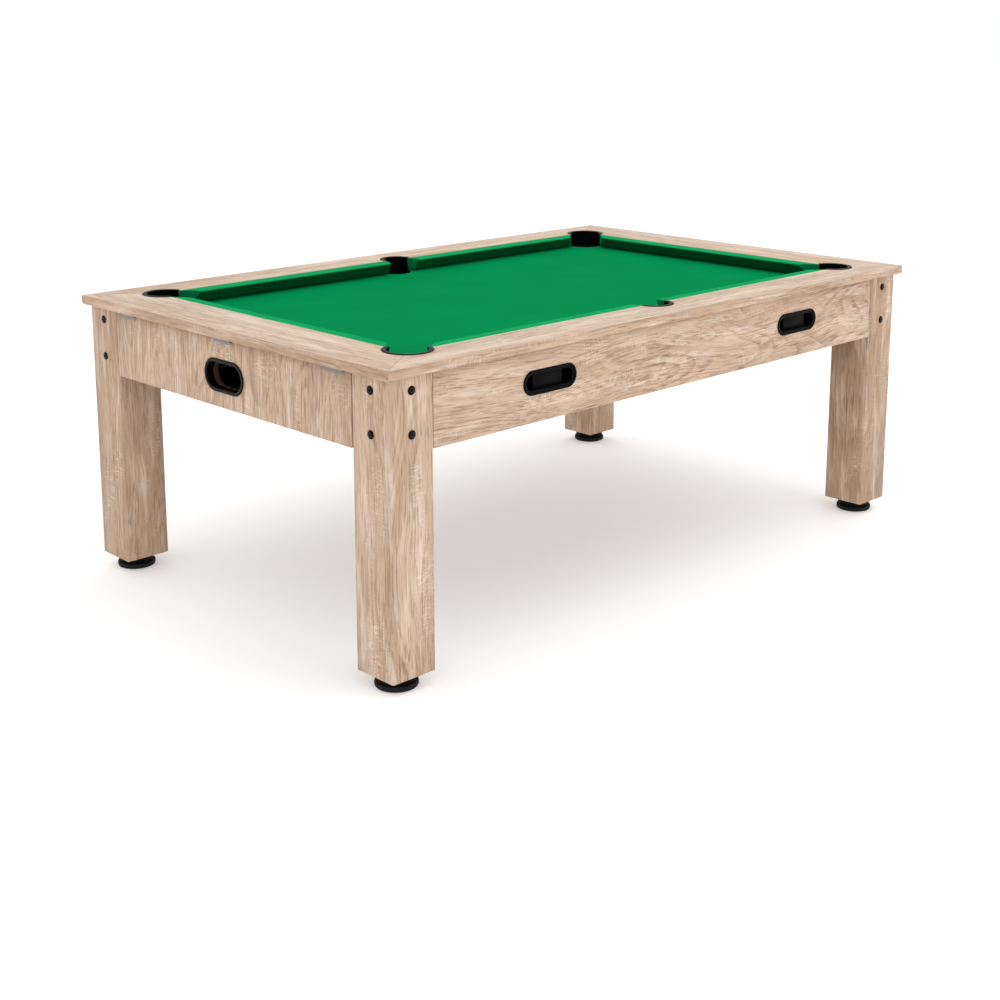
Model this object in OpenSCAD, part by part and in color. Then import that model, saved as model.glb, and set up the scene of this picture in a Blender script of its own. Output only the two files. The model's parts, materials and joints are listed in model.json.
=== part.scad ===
// Seven-foot pool table with a drop-pocket ball return.
// X runs along the table, Y across it, Z up. The origin is on the floor under the middle.
// The ball return end, with its hinged panel, is at -X.

/* [Overall] */
// Length over the rails
table_l = 2130; // [1700:10:2700]
// Width over the rails
table_w = 1340; // [1050:10:1700]
// Height of the rail tops above the floor
table_h = 800; // [700:5:900]

/* [Top rails] */
// Thickness of the rail boards
rail_t = 25; // [18:1:40]
// Width of the long rails, outer edge to cushion
side_rail_w = 125; // [115:1:170]
// Width of the end rails, outer edge to cushion
end_rail_w = 165; // [150:1:210]
// How far the rails stand out over the frame
overhang = 18; // [8:1:30]

/* [Frame] */
// Side of the square legs
leg_w = 134; // [110:1:160]
// Chamfer on the upright edges of the legs
leg_chamfer = 3; // [1:0.5:6]
// Depth of the aprons below the rails
apron_h = 187; // [150:1:230]
// Thickness of the long aprons and of the leg walls beside the corner blocks
apron_t = 22; // [18:1:28]
// Thickness of the outer end panels
panel_t = 18; // [15:1:24]
// Thickness of the inner end boards
inner_t = 18; // [15:1:24]
// Gap between an outer end panel and the board behind it
panel_gap = 2; // [1.5:0.5:4]
// Gap between the hinged panel and the legs
flap_gap = 3; // [1:0.5:6]
// Thickness of the cross webs under the bed
web_t = 18; // [15:1:30]

/* [Leg bolts] */
// Diameter of the bolt heads
bolt_head_d = 22; // [16:1:28]
// Height of the bolt heads
bolt_head_h = 3; // [2:0.5:5]
// Diameter of the bolt shanks
bolt_d = 8; // [6:1:10]
// Upper bolt, below the rail underside
bolt_high = 36; // [25:1:60]
// Lower bolt, below the rail underside
bolt_low = 141; // [110:1:145]

/* [Bed and cushions] */
// Depth of the playing cloth below the rail tops
bed_drop = 42; // [36:1:50]
// Thickness of the bed board
bed_t = 20; // [16:1:30]
// Width of the batten under the seam of the two bed boards
batten_w = 100; // [60:5:160]
// Thickness of the seam batten
batten_t = 18; // [12:1:25]
// Gap along the seam batten to each middle pocket
batten_gap = 12; // [8:1:30]
// Thickness of the bed cloth
cloth_t = 1; // [0.6:0.1:1.5]
// Width of a cushion, wood edge to nose
cushion_w = 42; // [36:1:50]
// Gap between the cushions' undersides and the cloth
cushion_gap = 4; // [2:0.5:6]
// How far a cushion tapers along its nose at a corner pocket
corner_jaw = 50; // [20:1:60]
// How far a cushion tapers along its nose at a middle pocket
middle_jaw = 12; // [6:1:24]

/* [Pockets] */
// Inner radius of a corner pocket
corner_r = 54; // [48:1:60]
// Inner radius of a middle pocket
middle_r = 43; // [40:1:52]
// Wall of the pocket liners
pocket_wall = 4; // [3:0.5:6]
// How far a pocket's rim reaches inside its bore
rim_lip = 3; // [1:0.5:5]
// How far a pocket's rim reaches over the wood
rim_reach = 5; // [3:0.5:8]
// How far a pocket's rim stands above the rails
rim_h = 2; // [1:0.5:4]
// Corner pocket centre, in from both wood edges
pocket_in = 18; // [10:1:26]

/* [Ball return] */
// Diameter of the balls
ball_d = 57; // [48:0.5:61]
// Side play of a ball in its gully
ball_play = 19; // [10:1:24]
// Wall of the gullies and of the tray
gully_t = 2; // [1.5:0.5:4]
// Height of the gully walls above their floor
gully_h = 38; // [30:1:44]
// Slope of the long gullies in degrees
gully_slope = 0.8; // [0.5:0.1:0.9]
// Slope of the end gullies in degrees
end_slope = 1.2; // [0.5:0.1:2]
// Slope of the tray in degrees
tray_slope = 2; // [1:0.5:3]
// Width of the straps that hang the end gullies and the tray
strap_w = 20; // [12:1:24]
// Thickness of those straps
strap_t = 2; // [1.5:0.5:3]
// Width of the return opening's bezel
return_w = 172; // [150:1:220]
// Height of the return opening's bezel
return_h = 88; // [84:1:100]
// Middle of the return opening above the lower edge of the apron
return_up = 84; // [78:1:100]

/* [Side grips] */
// Width of a grip's bezel
grip_w = 190; // [150:1:240]
// Height of a grip's bezel
grip_h = 64; // [50:1:80]
// Distance of a grip from the middle, as a share of half the frame
grip_at = 0.5; // [0.42:0.01:0.54]
// Middle of a grip above the lower edge of the apron
grip_up = 102; // [70:1:120]
// Depth of the finger pockets
grip_depth = 36; // [30:1:45]
// Width of the plate between the finger pockets
grip_plate_w = 104; // [80:1:140]
// Setback of that plate
grip_plate_in = 10; // [6:1:14]

/* [Hinges and catch] */
// Length of a hinge
hinge_l = 80; // [60:1:100]
// Distance of the outer hinges from the ends of the hinged panel
hinge_in = 60; // [45:5:200]
// Radius of the hinge knuckles
knuckle_r = 3.8; // [3:0.1:4.5]
// Radius of the hinge pins
pin_r = 1.5; // [1:0.1:2]
// Thickness of the hinge leaves
leaf_t = 1.5; // [1:0.1:2]
// Slot between the hinged panel and the rail
hinge_gap = 6; // [5:0.5:9]
// Distance of the catches from the ends of the hinged panel
catch_in = 215; // [100:5:300]

/* [Feet] */
// Height of the leg ends above the floor
foot_h = 38; // [32:1:50]
// Diameter of the foot soles
sole_d = 108; // [90:1:115]
// Diameter of the adjusting wheels
wheel_d = 98; // [80:1:106]
// Thickness of the foot soles
sole_t = 15; // [12:0.5:18]
// Radius of the foot studs
stud_r = 6; // [5:0.5:8]
// Length of the foot studs above the wheels
stud_l = 60; // [50:1:90]
// Travel of a foot
foot_travel = 12; // [5:1:20]

/* [Hidden] */
$fn = 64;
fit = 0.05;   // radial clearance of pins and studs that turn
slip = 0.3;   // clearance of fixed pieces put in a hole
joint = 0.2;  // gap between boards and cushions

half_l = table_l / 2;
half_w = table_w / 2;
frame_x = half_l - overhang;
frame_y = half_w - overhang;
edge_x = half_l - end_rail_w;
edge_y = half_w - side_rail_w;
rail_z = table_h - rail_t;
apron_z = rail_z - apron_h;
bed_z = table_h - bed_drop;
board_z = bed_z - cloth_t - bed_t;
in_x = frame_x - panel_t - panel_gap - inner_t;
in_y = frame_y - apron_t;
leg_x = frame_x - leg_w / 2;
leg_y = frame_y - leg_w / 2;
apron_half = frame_x - leg_w - joint;
inner_half = frame_y - leg_w - joint;
flap_half = frame_y - leg_w - flap_gap;
catch_y = flap_half - catch_in;

corner_x = edge_x - pocket_in;
corner_y = edge_y - pocket_in;
middle_y = edge_y + 2;
corner_out = corner_r + pocket_wall;
middle_out = middle_r + pocket_wall;
liner_z = board_z - 12;
bore_slip = 0.5;

cushion_z = bed_z + cushion_gap;
corner_gap = corner_out + rim_reach - 3;
middle_gap = middle_out + rim_reach + 2;
backer_w = 34;

gully_w = ball_d + ball_play;
gully_y = corner_y;
gully_end_x = corner_x + corner_out - 4;
end_gully_x = corner_x;
gully_start_z = board_z - ball_d - 4;
gully_run = corner_x + end_gully_x - gully_w / 2;
gully_exit_z = gully_start_z - gully_run * tan(gully_slope);
end_start_z = gully_exit_z - 8;
tray_half = return_w / 2 + 8;
end_run = corner_y + corner_out - tray_half - gully_t;
tray_in_z = end_start_z - end_run * tan(end_slope) - 3;
tray_back_x = end_gully_x - gully_w / 2 - gully_t;
web_z = gully_exit_z - 26;

flange = 10;
return_z = apron_z + return_up;
grip_z = apron_z + grip_up;
grip_x = grip_at * frame_x;
web_out = grip_x + grip_w / 2 + 60;
web_in = grip_x - grip_w / 2 - 60;
web_xs = [-web_out, -web_in, web_in, web_out];
flap_top = rail_z - hinge_gap;
hinge_x = frame_x + knuckle_r + 0.2;
hinge_z = rail_z - knuckle_r - 0.4;
leaf_w = panel_t - 2;

block_x = corner_x + corner_out + 3;
block_y = corner_y + 3;
bolt_l = leg_w / 2 - 9;

wheel_z = sole_t + slip;
wheel_top = foot_h - 2;
spigot_r = 10;

OAK = "#d6bea8";
OAK_TOP = "#e4d2c3";
MDF = "#b08a5c";
CLOTH = "#008f50";
BLACK = "#161616";
STEEL = "#a9adb0";

// A stadium w by h, lying along X
module stadium(w, h) {
    square([w - h, h], center = true);
    for (s = [-1, 1])
        translate([s * (w - h) / 2, 0])
            circle(d = h);
}

// A box from one corner to the other
module span(low, high) {
    translate(low)
        cube(high - low);
}

// Children put at the quadrant (sx, sy) of a piece drawn at +X +Y
module quadrant(sx, sy) {
    mirror([sx < 0 ? 1 : 0, 0, 0])
        mirror([0, sy < 0 ? 1 : 0, 0])
            children();
}

module each_corner() {
    for (sx = [-1, 1], sy = [-1, 1])
        quadrant(sx, sy)
            children();
}

// Holes of all six pockets, with extra radius
module pocket_holes(extra) {
    each_corner()
        translate([corner_x, corner_y])
            circle(r = corner_out + extra);
    for (sy = [-1, 1])
        translate([0, sy * middle_y])
            circle(r = middle_out + extra);
}

/* ---- top rails ---- */

// The long rail at +Y, mitred at both ends
module side_rail() {
    translate([0, 0, rail_z])
        linear_extrude(rail_t)
            difference() {
                polygon([[-half_l + joint, half_w], [half_l - joint, half_w],
                    [edge_x, edge_y], [-edge_x, edge_y]]);
                pocket_holes(bore_slip);
            }
}

// The end rail at +X, mitred at both ends
module end_rail(screw_holes) {
    difference() {
        translate([0, 0, rail_z])
            linear_extrude(rail_t)
                difference() {
                    polygon([[half_l, half_w - joint], [edge_x, edge_y - joint],
                        [edge_x, -edge_y + joint], [half_l, -half_w + joint]]);
                    pocket_holes(bore_slip);
                }
        if (screw_holes)
            mirror([1, 0, 0])
                leaf_screws(1.6, 0, false);
    }
}

/* ---- frame ---- */

// One of the four grip cut-outs, in the long apron at +Y
module grip_cut(extra) {
    for (s = [-1, 1])
        translate([s * grip_x, frame_y + 1, grip_z])
            rotate([90, 0, 0])
                linear_extrude(apron_t + 2)
                    stadium(grip_w - 2 * flange + extra, grip_h - 2 * flange + extra);
}

module long_apron() {
    difference() {
        span([-apron_half, in_y, apron_z], [apron_half, frame_y, rail_z]);
        grip_cut(slip);
    }
}

// The fixed panel at +X, flat on the board behind it
module end_panel() {
    span([in_x + inner_t, -inner_half, apron_z], [frame_x, inner_half, rail_z]);
}

// The cut-out of the ball return, through x0 to x1
module return_cut(x0, x1, w, h) {
    translate([x0, 0, return_z])
        rotate([90, 0, 90])
            linear_extrude(x1 - x0)
                stadium(w, h);
}

// The hinged panel over the ball return
module flap_panel() {
    difference() {
        span([-frame_x, -flap_half, apron_z], [-frame_x + panel_t, flap_half, flap_top]);
        return_cut(-frame_x - 1, -frame_x + panel_t + 1,
            return_w - 2 * flange + 5 + slip, return_h - 2 * flange + 5 + slip);
        leaf_screws(1.6, 0, true);
    }
}

// The board behind an end panel, at +X
module inner_board(opening) {
    x1 = in_x + inner_t;
    difference() {
        span([in_x, -inner_half, apron_z], [x1, inner_half, rail_z]);
        if (opening) {
            mirror([1, 0, 0])
                return_cut(-x1 - 1, -in_x + 1, return_w - 12, return_h - 12);
            for (s = [-1, 1])
                translate([x1 - 10, s * catch_y, apron_z + 22])
                    rotate([0, 90, 0])
                        cylinder(r = 6 + slip, h = 11);
        }
    }
}

// Plan of a leg: a square with chamfered corners
module leg_plan() {
    a = leg_w / 2;
    b = a - leg_chamfer;
    translate([leg_x, leg_y])
        polygon([[-a, -b], [-b, -a], [b, -a], [a, -b], [a, b], [b, a], [-b, a], [-a, b]]);
}

// The leg at +X +Y: solid below the aprons, two outer walls beside them
module leg() {
    difference() {
        translate([0, 0, foot_h])
            linear_extrude(rail_z - foot_h)
                leg_plan();
        span([leg_x - leg_w, leg_y - leg_w, apron_z], [frame_x - apron_t, in_y, rail_z + 1]);
        bolt_shanks(bolt_d / 2 + slip, bolt_l + 1);
        translate([leg_x, leg_y, foot_h - 1])
            cylinder(r = 9, h = 25);
        translate([leg_x, leg_y, foot_h])
            cylinder(r = stud_r + 0.5, h = stud_l + 8);
    }
}

// Rods on the leg bolts' axes, from the leg faces inward
module bolt_shanks(r, l) {
    for (drop = [bolt_high, bolt_low]) {
        translate([frame_x - l, leg_y, rail_z - drop])
            rotate([0, 90, 0])
                cylinder(r = r, h = l);
        translate([leg_x, frame_y, rail_z - drop])
            rotate([90, 0, 0])
                cylinder(r = r, h = l);
    }
}

// One bolt head with a hexagon socket, on the plane Z = 0
module bolt_head() {
    difference() {
        union() {
            cylinder(d = bolt_head_d, h = bolt_head_h / 2);
            translate([0, 0, bolt_head_h / 2])
                cylinder(d1 = bolt_head_d, d2 = bolt_head_d - 3, h = bolt_head_h / 2);
        }
        translate([0, 0, 0.8])
            cylinder(d = 6, h = bolt_head_h, $fn = 6);
    }
}

module leg_bolt_set() {
    bolt_shanks(bolt_d / 2, bolt_l);
    for (drop = [bolt_high, bolt_low]) {
        translate([frame_x, leg_y, rail_z - drop])
            rotate([0, 90, 0])
                bolt_head();
        translate([leg_x, frame_y, rail_z - drop])
            rotate([-90, 0, 0])
                bolt_head();
    }
}

// Threaded inserts that the leg bolts screw into, in the corner block
module bolt_insert_set(r) {
    for (drop = [bolt_high, bolt_low]) {
        translate([frame_x - apron_t - 20, leg_y, rail_z - drop])
            rotate([0, 90, 0])
                cylinder(r = r, h = 20);
        translate([leg_x, in_y, rail_z - drop])
            rotate([90, 0, 0])
                cylinder(r = r, h = 20);
    }
}

// The block inside a corner that leg, aprons and end boards are fixed to
module corner_block() {
    difference() {
        union() {
            span([block_x, block_y, apron_z], [frame_x - apron_t, in_y, rail_z]);
            span([corner_x, corner_y + corner_out + 8, apron_z],
                [block_x + 1, in_y, board_z]);
            span([block_x, inner_half - 40, apron_z], [in_x, block_y + 1, board_z]);
        }
        span([in_x, leg_y - leg_w, apron_z - 1], [frame_x, inner_half + joint, rail_z + 1]);
        bolt_insert_set(6 + slip / 2);
        bolt_shanks(bolt_d / 2 + slip, bolt_l + 2);
    }
}

// Height of a long gully's floor at x
function gully_floor(x) = gully_start_z - (corner_x - x) * tan(gully_slope);

// An upright board across the table, with a window that each long gully lies in
module cross_web(x) {
    window = gully_w / 2 + gully_t + 1;
    difference() {
        span([x - web_t / 2, -in_y, web_z], [x + web_t / 2, in_y, board_z]);
        for (s = [-1, 1])
            quadrant(1, s)
                intersection() {
                    span([x - web_t, 0, 0], [x + web_t, table_w, board_z - 6]);
                    gully_frame()
                        span([0, -window, -gully_t], [table_l, window, table_h]);
                }
    }
}

/* ---- bed and cushions ---- */

// Plan of the bed, cut away at the pockets and outside the corner pockets
module bed_plan(half_x, half_y) {
    difference() {
        square([2 * half_x, 2 * half_y], center = true);
        pocket_holes(bore_slip);
        each_corner()
            translate([corner_x, corner_y])
                square([table_l, table_w]);
    }
}

// The bed board at +X; the two boards meet in the middle of the table
module half_bed() {
    translate([0, 0, board_z])
        linear_extrude(bed_t)
            intersection() {
                bed_plan(in_x - joint, in_y - joint);
                translate([joint / 2, -in_y])
                    square([in_x, 2 * in_y]);
            }
}

// The batten glued under the seam between the two bed boards, clear of the middle pockets
module batten() {
    half = middle_y - middle_out - batten_gap;
    span([-batten_w / 2, -half, board_z - joint - batten_t], [batten_w / 2, half, board_z - joint]);
}

// Section of a cushion: X is the distance from the wood edge, Y the height
module cushion_section() {
    top = table_h - 0.4;
    translate([joint, 0])
        polygon([[0, cushion_z], [0, top], [cushion_w - 8, top], [cushion_w - joint, top - 2.5],
            [cushion_w - joint, top - 8], [cushion_w - 20, cushion_z]]);
}

// A cushion along X, its wood edge on Y = 0 and its nose at -Y, its ends cut to jaws
module cushion_bar(x0, x1, jaw0, jaw1) {
    difference() {
        translate([x0, 0, 0])
            rotate([90, 0, 90])
                mirror([1, 0, 0])
                    linear_extrude(x1 - x0)
                        cushion_section();
        translate([0, 0, cushion_z - 1])
            linear_extrude(bed_drop + 2) {
                polygon([[x0 - 1, joint], [x0, joint], [x0 + jaw0, -cushion_w],
                    [x0 + jaw0, -cushion_w - 1], [x0 - 1, -cushion_w - 1]]);
                polygon([[x1 + 1, joint], [x1, joint], [x1 - jaw1, -cushion_w],
                    [x1 - jaw1, -cushion_w - 1], [x1 + 1, -cushion_w - 1]]);
            }
    }
}

// The cushion at +X +Y
module side_cushion() {
    translate([0, edge_y, 0])
        cushion_bar(middle_gap, corner_x - corner_gap, middle_jaw, corner_jaw);
}

// The cushion at +X
module end_cushion() {
    half = corner_y - corner_gap;
    translate([edge_x, 0, 0])
        rotate([0, 0, -90])
            cushion_bar(-half, half, corner_jaw, corner_jaw);
}

// Wooden strips that carry the rails and cushions on the bed
module backers() {
    z0 = bed_z;
    each_corner()
        span([middle_gap, edge_y, z0],
            [corner_x - corner_gap, edge_y + backer_w, rail_z]);
    for (sx = [-1, 1])
        quadrant(sx, 1)
            span([edge_x, -corner_y + corner_gap, z0],
                [edge_x + backer_w, corner_y - corner_gap, rail_z]);
}

/* ---- pockets ---- */

// A pocket liner: a full ring below the cloth, a wall and a rim where mouth() isn't
module liner(r, cut_y) {
    out = r + pocket_wall;
    difference() {
        union() {
            translate([0, 0, liner_z])
                cylinder(r = out, h = table_h - liner_z + 0.5);
            translate([0, 0, table_h])
                cylinder(r = out + rim_reach, h = rim_h);
        }
        translate([0, 0, liner_z - 1])
            cylinder(r = r, h = table_h - liner_z - 7);
        translate([0, 0, table_h - 10])
            cylinder(r1 = r, r2 = r - rim_lip, h = 8);
        translate([0, 0, table_h - 4])
            cylinder(r = r - rim_lip, h = 10);
        translate([0, 0, bed_z - 0.5])
            linear_extrude(bed_drop + rim_h + 2)
                children();
    }
}

// The corner pocket at +X +Y; its mouth faces the middle of the table
module corner_pocket() {
    r = corner_out + rim_reach + 1;
    translate([corner_x, corner_y, 0])
        liner(corner_r)
            polygon([[-2 * r, pocket_in - joint], [-2 * r, -2 * r], [pocket_in - joint, -2 * r],
                [pocket_in - joint, -corner_r * 0.8], [pocket_in - r * 0.55, pocket_in - r * 0.55],
                [-corner_r * 0.8, pocket_in - joint]]);
}

// The middle pocket at +Y
module middle_pocket() {
    r = middle_out + rim_reach + 1;
    translate([0, middle_y, 0])
        liner(middle_r)
            translate([-r, -2 * r - 2 - joint])
                square([2 * r, 2 * r]);
}

/* ---- ball return ---- */

// An open trough along +X from the origin, floor top on Z = 0: a floor strip with two side
// strips and an end strip glued on it
module trough(l) {
    w = gully_w / 2;
    span([0, -w - gully_t, -gully_t], [l, w + gully_t, 0]);
    for (s = [-1, 1])
        mirror([0, s < 0 ? 1 : 0, 0])
            span([0, w, joint], [l, w + gully_t, gully_h]);
    span([l - gully_t, -w + joint, joint], [l, w - joint, gully_h]);
}

// Children put on the floor of the long gully at +Y, at its lower end
gully_low_x = -end_gully_x + gully_w / 2 + gully_t + 1;
module gully_frame() {
    translate([gully_low_x, gully_y, gully_floor(gully_low_x)])
        rotate([0, -gully_slope, 0])
            children();
}

// The gully under the three pockets at +Y, falling towards -X
module long_gully() {
    gully_frame()
        trough(gully_end_x - gully_low_x);
}

// Children put on the floor of the end gully at +Y, at its lower end, +X turned to +Y
module end_frame() {
    translate([-end_gully_x, tray_half + gully_t + 0.5, end_start_z - end_run * tan(end_slope)])
        rotate([end_slope, 0, 0])
            rotate([0, 0, 90])
                children();
}

// The gully across the ball return end at +Y, falling towards the tray
module end_gully() {
    notch = gully_w / 2 + gully_t + 2;
    difference() {
        end_frame()
            trough(end_run);
        span([-end_gully_x, gully_y - notch, gully_exit_z - gully_t - 1],
            [-end_gully_x + gully_w, gully_y + notch, board_z]);
    }
}

// Children put on the floor of the tray, at its back
module tray_frame() {
    translate([-tray_back_x, 0, tray_in_z])
        rotate([0, -tray_slope, 0])
            children();
}

// The open tray behind the return opening
module tray() {
    l = in_x - tray_back_x + 4;
    wall = 44;
    difference() {
        tray_frame()
            difference() {
                span([-l, -tray_half, -gully_t], [0, tray_half, wall]);
                span([-l - 1, -tray_half + gully_t, 0],
                    [-gully_t, tray_half - gully_t, wall + 1]);
                span([-gully_t - gully_w, -tray_half - 1, 2],
                    [-gully_t, tray_half + 1, wall + 1]);
            }
        span([-in_x - 30, -tray_half - 1, 0], [-in_x, tray_half + 1, table_h]);
    }
}

// A strap that hangs a trough of half width w from the bed board, at x in the trough's frame
module strap(x, w) {
    span([x, -w - strap_t, -gully_t - strap_t], [x + strap_w, w + strap_t, -gully_t]);
    for (s = [-1, 1])
        mirror([0, s < 0 ? 1 : 0, 0])
            span([x, w, -gully_t - strap_t], [x + strap_w, w + strap_t, apron_h]);
}

// The straps of the end gully at +Y
module end_straps() {
    w = gully_w / 2 + gully_t;
    difference() {
        end_frame() {
            strap(40, w);
            strap(end_run - gully_w - 90, w);
        }
        above_board();
    }
}

// The two straps of the tray
module tray_straps() {
    difference() {
        tray_frame() {
            strap(tray_back_x - in_x + 10, tray_half);
            strap(-gully_w - 2 * gully_t - strap_w - 8, tray_half);
        }
        above_board();
    }
}

// The space above the bed board's underside
module above_board() {
    translate([-table_l, -table_w, board_z])
        cube([2 * table_l, 2 * table_w, table_h]);
}

// The black plastic surround of the return opening; it is fixed in the hinged panel
module bezel() {
    depth = panel_t + 1;
    x0 = -frame_x;
    difference() {
        union() {
            return_cut(x0 - 3, x0, return_w, return_h);
            return_cut(x0 - 0.5, x0 + depth, return_w - 2 * flange + 5, return_h - 2 * flange + 5);
        }
        return_cut(x0 - 4, x0 + depth + 1, return_w - 2 * flange, return_h - 2 * flange);
    }
}

/* ---- side grips ---- */

// A flush grip in the long apron at +Y, +X: two finger pockets beside a set-back plate
module grip() {
    w = grip_w - 2 * flange;
    h = grip_h - 2 * flange;
    wall = 2.5;
    translate([grip_x, frame_y, grip_z])
        rotate([-90, 0, 0])
            difference() {
                union() {
                    linear_extrude(3)
                        stadium(grip_w, grip_h);
                    translate([0, 0, -grip_depth])
                        linear_extrude(grip_depth + 0.5)
                            stadium(w, h);
                }
                translate([0, 0, -grip_plate_in])
                    linear_extrude(grip_plate_in + 4)
                        stadium(w - 2 * wall, h - 2 * wall);
                translate([0, 0, wall - grip_depth])
                    linear_extrude(grip_depth + 4)
                        difference() {
                            stadium(w - 2 * wall, h - 2 * wall);
                            square([grip_plate_w, grip_h], center = true);
                        }
                translate([0, 0, -grip_depth - 1])
                    linear_extrude(grip_depth + 1 - grip_plate_in - wall)
                        square([grip_plate_w - 2 * wall, h - 2 * wall], center = true);
            }
}

/* ---- hinges and catch ---- */

hinge_ys = [-flap_half + hinge_in, 0, flap_half - hinge_in];
knuckle_l = hinge_l / 3;

// Hinge screws at the ball return end, with heads where head is over 0
module leaf_screws(r, head, in_flap) {
    for (y = hinge_ys, s = [-1, 0, 1])
        translate([-frame_x + leaf_w / 2 + 1, y + s * hinge_l * 0.36, 0])
            if (in_flap) {
                translate([0, 0, flap_top - 12])
                    cylinder(r = r, h = 12 + leaf_t);
                if (head > 0)
                    translate([0, 0, flap_top + leaf_t])
                        cylinder(r = head, h = 0.9);
            } else {
                translate([0, 0, rail_z - leaf_t])
                    cylinder(r = r, h = 12 + leaf_t);
                if (head > 0)
                    translate([0, 0, rail_z - leaf_t - 0.9])
                        cylinder(r = head, h = 0.9);
            }
}

// Knuckles from y0 to y1, joined to a leaf at z0, with a bore for the pin
module knuckle(y0, y1, z0) {
    difference() {
        union() {
            translate([-hinge_x, y0, hinge_z])
                rotate([-90, 0, 0])
                    cylinder(r = knuckle_r, h = y1 - y0);
            span([-hinge_x, y0, z0], [-frame_x + 3, y1, z0 + leaf_t]);
        }
        translate([-hinge_x, y0 - 1, hinge_z])
            rotate([-90, 0, 0])
                cylinder(r = pin_r + fit, h = y1 - y0 + 2);
    }
}

// The leaf fixed under the rail carries the two outer knuckles
module rail_leaf(y) {
    z0 = rail_z - leaf_t;
    a = knuckle_l / 2 + joint;
    difference() {
        union() {
            for (s = [-1, 1])
                knuckle(y + (s < 0 ? -hinge_l / 2 : a), y + (s < 0 ? -a : hinge_l / 2), z0);
            span([-frame_x + 0.2, y - hinge_l / 2, z0], [-frame_x + leaf_w, y + hinge_l / 2, rail_z]);
        }
        leaf_screws(1.7, 0, false);
    }
}

// The leaf fixed on the panel's top edge carries the middle knuckle
module flap_leaf(y) {
    difference() {
        union() {
            knuckle(y - knuckle_l / 2, y + knuckle_l / 2, flap_top);
            span([-frame_x + 0.2, y - hinge_l / 2, flap_top],
                [-frame_x + leaf_w, y + hinge_l / 2, flap_top + leaf_t]);
        }
        leaf_screws(1.7, 0, true);
    }
}

/* ---- feet ---- */

// The sole of a foot: a round pad that only moves up and down
module foot_sole() {
    translate([leg_x, leg_y, 0])
        difference() {
            rotate_extrude()
                polygon([[0, 0], [sole_d / 2 - 4, 0], [sole_d / 2, 4],
                    [sole_d / 2, sole_t - 3], [sole_d / 2 - 3, sole_t], [0, sole_t]]);
            translate([0, 0, 5])
                cylinder(r = spigot_r + fit, h = sole_t);
        }
}

// The adjusting wheel of a foot with its stud, turning on the sole
module foot_wheel() {
    translate([leg_x, leg_y, 0])
        difference() {
            union() {
                translate([0, 0, wheel_z])
                    cylinder(d = wheel_d, h = wheel_top - wheel_z);
                translate([0, 0, 5 + slip])
                    cylinder(r = spigot_r, h = wheel_z);
                translate([0, 0, wheel_z])
                    cylinder(r = stud_r, h = wheel_top + stud_l - wheel_z);
            }
            for (i = [0:23])
                rotate([0, 0, i * 15])
                    translate([wheel_d / 2 + 1.2, 0, wheel_z - 1])
                        cylinder(r = 3, h = wheel_top);
        }
}

// The threaded insert in a leg's end
module foot_insert() {
    translate([leg_x, leg_y, foot_h])
        difference() {
            cylinder(r = 9, h = 24);
            translate([0, 0, -1])
                cylinder(r = stud_r + fit, h = 26);
        }
}

/* ---- nodes ---- */

module side_rail_front() color(OAK_TOP) quadrant(1, -1) side_rail();
module side_rail_back() color(OAK_TOP) side_rail();
module end_rail_left() color(OAK_TOP) quadrant(-1, 1) end_rail(true);
module end_rail_right() color(OAK_TOP) end_rail(false);
module apron_front() color(OAK) quadrant(1, -1) long_apron();
module apron_back() color(OAK) long_apron();
module end_panel_right() color(OAK) end_panel();
module end_flap() color(OAK) flap_panel();
module inner_board_left() color(MDF) quadrant(-1, 1) inner_board(true);
module inner_board_right() color(MDF) inner_board(false);
module leg_front_left() color(OAK) quadrant(-1, -1) leg();
module leg_front_right() color(OAK) quadrant(1, -1) leg();
module leg_back_left() color(OAK) quadrant(-1, 1) leg();
module leg_back_right() color(OAK) leg();
module leg_bolts() color(BLACK) each_corner() leg_bolt_set();
module bolt_inserts() color(STEEL) each_corner() difference() {
    bolt_insert_set(6);
    bolt_shanks(bolt_d / 2 + fit, bolt_l + 1);
}
module corner_blocks() color(MDF) each_corner() corner_block();
module cross_webs() color(MDF) for (x = web_xs) cross_web(x);
module seam_batten() color(MDF) batten();
module bed_board_left() color(MDF) quadrant(-1, 1) half_bed();
module bed_board_right() color(MDF) half_bed();
module bed_cloth() color(CLOTH) translate([0, 0, bed_z - cloth_t])
    linear_extrude(cloth_t)
        bed_plan(edge_x + backer_w, edge_y + backer_w);
module cushion_backers() color(MDF) backers();
module cushion_front_left() color(CLOTH) quadrant(-1, -1) side_cushion();
module cushion_front_right() color(CLOTH) quadrant(1, -1) side_cushion();
module cushion_back_left() color(CLOTH) quadrant(-1, 1) side_cushion();
module cushion_back_right() color(CLOTH) side_cushion();
module cushion_left() color(CLOTH) quadrant(-1, 1) end_cushion();
module cushion_right() color(CLOTH) end_cushion();
module pocket_front_left() color(BLACK) quadrant(-1, -1) corner_pocket();
module pocket_front_middle() color(BLACK) quadrant(1, -1) middle_pocket();
module pocket_front_right() color(BLACK) quadrant(1, -1) corner_pocket();
module pocket_back_left() color(BLACK) quadrant(-1, 1) corner_pocket();
module pocket_back_middle() color(BLACK) middle_pocket();
module pocket_back_right() color(BLACK) corner_pocket();
module side_gullies() color(BLACK) for (s = [-1, 1]) quadrant(1, s) long_gully();
module end_gullies() color(BLACK) for (s = [-1, 1]) quadrant(1, s) end_gully();
module ball_tray() color(BLACK) tray();
module gully_straps() color(STEEL) {
    tray_straps();
    for (s = [-1, 1])
        quadrant(1, s)
            end_straps();
}
module return_bezel() color(BLACK) bezel();
module grip_front_left() color(BLACK) quadrant(-1, -1) grip();
module grip_front_right() color(BLACK) quadrant(1, -1) grip();
module grip_back_left() color(BLACK) quadrant(-1, 1) grip();
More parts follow.
